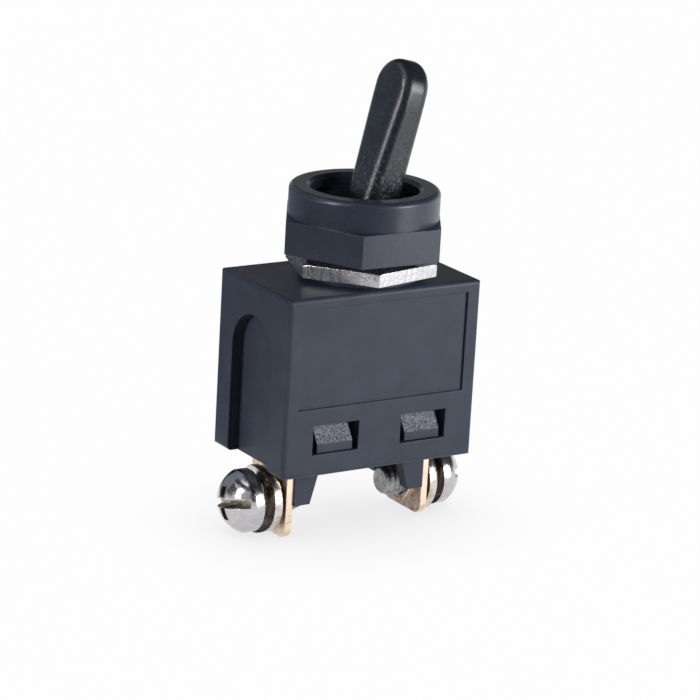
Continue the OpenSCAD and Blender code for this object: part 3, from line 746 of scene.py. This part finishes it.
def stage_sheet(name, corners, faces):
    """Mesh object of the studio, which isn't part of the switch, with a finish of its own name."""
    mesh = bpy.data.meshes.new(name)
    mesh.from_pydata(corners, [], faces)
    sheet = new_object(name, mesh)
    tree, shader = new_finish(name)
    coat(sheet, name)
    return sheet, tree, shader


def studio_floor():
    """White floor at the foot of the terminals, with a soft shadow painted into its glow by ambient
    occlusion where the switch stands, and a faint cast shadow in the small share that doesn't glow.
    """
    ways = ((-1, -1), (1, -1), (1, 1), (-1, 1))
    corners = [(x * FLOOR_HALF, y * FLOOR_HALF, FLOOR_Z) for x, y in ways]
    _, tree, shader = stage_sheet("floor", corners, [(0, 1, 2, 3)])
    set_shader(tree, shader, {"Base Color": FLOOR_GREY, **MATT})
    # Painted shadow: the glow greys towards a tone where ambient occlusion finds the switch near
    painted_shadow_ao = add_node(tree, "ShaderNodeAmbientOcclusion", {"Distance": PAINTED_SHADOW_REACH}, samples=4)
    glow = add_node(tree, "ShaderNodeEmission", {
        "Color": blend_colours(tree, painted_shadow_ao.outputs["AO"], PAINTED_SHADOW_TONE, WHITE), "Strength": 1.0,
    })
    mix = add_node(tree, "ShaderNodeMixShader", {
        "Fac": multiply(tree, seen_rays(tree), FLOOR_GLOW),
        1: shader.outputs["BSDF"], 2: glow.outputs["Emission"],
    })
    tree.links.new(mix.outputs["Shader"], tree.nodes["Material Output"].inputs["Surface"])


def dark_card(name, first, last, distance, low, high, tone=0.0):
    """Curved dark card about the switch, from one azimuth to another, that only shows in gloss as a
    painted dark reflection; a tone above nought makes it a faint painted glow there.
    """
    corners = []
    for step in range(CARD_STEPS + 1):
        turn = math.radians(first + (last - first) * step / CARD_STEPS)
        for z in (FLOOR_Z + low, FLOOR_Z + high):
            corners.append((distance * math.cos(turn), distance * math.sin(turn), z))
    faces = [(2 * k, 2 * k + 2, 2 * k + 3, 2 * k + 1) for k in range(CARD_STEPS)]
    card, tree, shader = stage_sheet(name, corners, faces)
    card.visible_camera = False
    card.visible_diffuse = False
    card.visible_transmission = False
    card.visible_shadow = False
    set_shader(tree, shader, {"Base Color": CARD_BLACK, **MATT, "Emission Color": CARD_REFLECTED_GLOW,
                              "Emission Strength": tone})


def soft_lamp(name, azimuth, elevation, distance, width, height, level, gloss=True, diffuse=True):
    """Rectangular lamp aimed at the switch; level 1 lights a white surface that faces it fully."""
    turn = math.radians(azimuth)
    rise = math.radians(elevation)
    out = Vector((math.cos(rise) * math.cos(turn), math.cos(rise) * math.sin(turn), math.sin(rise)))
    lamp = bpy.data.lights.new(name, "AREA")
    lamp.shape = "RECTANGLE"
    lamp.size = width
    lamp.size_y = height
    lamp.energy = level * (math.pi * distance) ** 2
    holder = new_object(name, lamp)
    holder.location = out * distance
    holder.rotation_euler = out.to_track_quat("Z", "Y").to_euler()
    holder.visible_glossy = gloss
    holder.visible_diffuse = diffuse


def photo_camera():
    """Camera at the photograph's place and angle."""
    right = Vector((math.cos(CAMERA_TURN), math.sin(CAMERA_TURN), 0))
    ahead = Vector((-math.sin(CAMERA_TURN) * math.cos(CAMERA_TILT),
                    math.cos(CAMERA_TURN) * math.cos(CAMERA_TILT), -math.sin(CAMERA_TILT)))
    down = ahead.cross(right)
    rolled_right = math.cos(CAMERA_ROLL) * right + math.sin(CAMERA_ROLL) * down
    rolled_down = -math.sin(CAMERA_ROLL) * right + math.cos(CAMERA_ROLL) * down
    place = Vector((CASE_X, 0, 0)) - (rolled_right * CASE_TOP_RIGHT + rolled_down * CASE_TOP_DOWN
                                     + ahead * CAMERA_DISTANCE)
    camera = bpy.data.cameras.new("photo_camera")
    camera.lens = CAMERA_LENS
    camera.sensor_width = CAMERA_SENSOR
    camera.clip_start = CAMERA_NEAR
    camera.clip_end = CAMERA_FAR
    holder = new_object("photo_camera", camera)
    turn = Matrix((rolled_right, -rolled_down, -ahead)).transposed()
    holder.matrix_world = Matrix.Translation(place) @ turn.to_4x4()
    bpy.context.scene.camera = holder


def light_studio():
    """Lamps from all sides, and cards that paint dark reflections into some of the gloss, the back card
    with a faint painted glow.
    """
    # Cards seen only in reflections: painted dark reflections, and on the back card a painted faint glow
    dark_card("back_card", first=84, last=156, distance=0.035, low=0, high=0.07, tone=0.25)
    dark_card("nut_card", first=62, last=112, distance=0.033, low=0, high=0.0215)
    dark_card("gap_card", first=150, last=201, distance=0.03, low=0.0222, high=0.033)
    dark_card("left_card", first=201, last=285, distance=0.03, low=0.0222, high=0.06)
    soft_lamp("key", azimuth=-63, elevation=6, distance=0.3, width=0.2, height=0.2, level=1.13)
    soft_lamp("left_lamp", azimuth=168, elevation=3, distance=0.6, width=0.2, height=0.2, level=0.6,
              gloss=False)
    soft_lamp("left_gloss", azimuth=187, elevation=22, distance=0.5, width=0.1, height=0.22, level=0.45,
              diffuse=False)
    soft_lamp("front_gloss", azimuth=205, elevation=28, distance=0.5, width=0.45, height=0.3, level=0.07,
              diffuse=False)
    soft_lamp("upper_gloss", azimuth=190, elevation=50, distance=0.5, width=0.2, height=0.3, level=0.12,
              diffuse=False)
    soft_lamp("overhead_gloss", azimuth=140, elevation=52, distance=0.5, width=0.4, height=0.25, level=0.1,
              diffuse=False)
    soft_lamp("back_fill", azimuth=75, elevation=3, distance=0.6, width=0.3, height=0.2, level=0.5,
              gloss=False)


def build_switch():
    """Every piece of the switch, outside and inside."""
    winding = wound_bar_tree()
    moulded_case()
    neck_thread(winding)
    snap_in_base()
    eased_node("hex_nut", "panel_nut", "nut_plate", "housing", NUT_EASE)
    eased_node("bezel_nut", "bezel_ring", "bezel_plastic", "housing", BEZEL_EASE, segments=3)
    eased_node("lever", "paddle_lever", "lever_plastic", "lever", LEVER_EASE)
    terminal_strip("contact_terminal", "terminal_strip_left", ENDS["left"])
    terminal_strip("pivot_terminal", "terminal_strip_right", ENDS["right"])
    for end, side in ENDS.items():
        terminal_screw(end, side, winding)
    for end in ENDS:
        split_washer(f"spring_washer_{end}", f"split_washer_{end}")
        eased_node(f"clamp_washer_{end}", f"wire_clamp_{end}", "washer_plate", "housing", WASHER_EASE)
    plunger_coil(winding)
    finish_hidden_nodes()


make_finishes()
photo_camera()
studio_world()
studio_floor()
light_studio()
build_switch()

bpy.context.scene.view_settings.view_transform = "Standard"
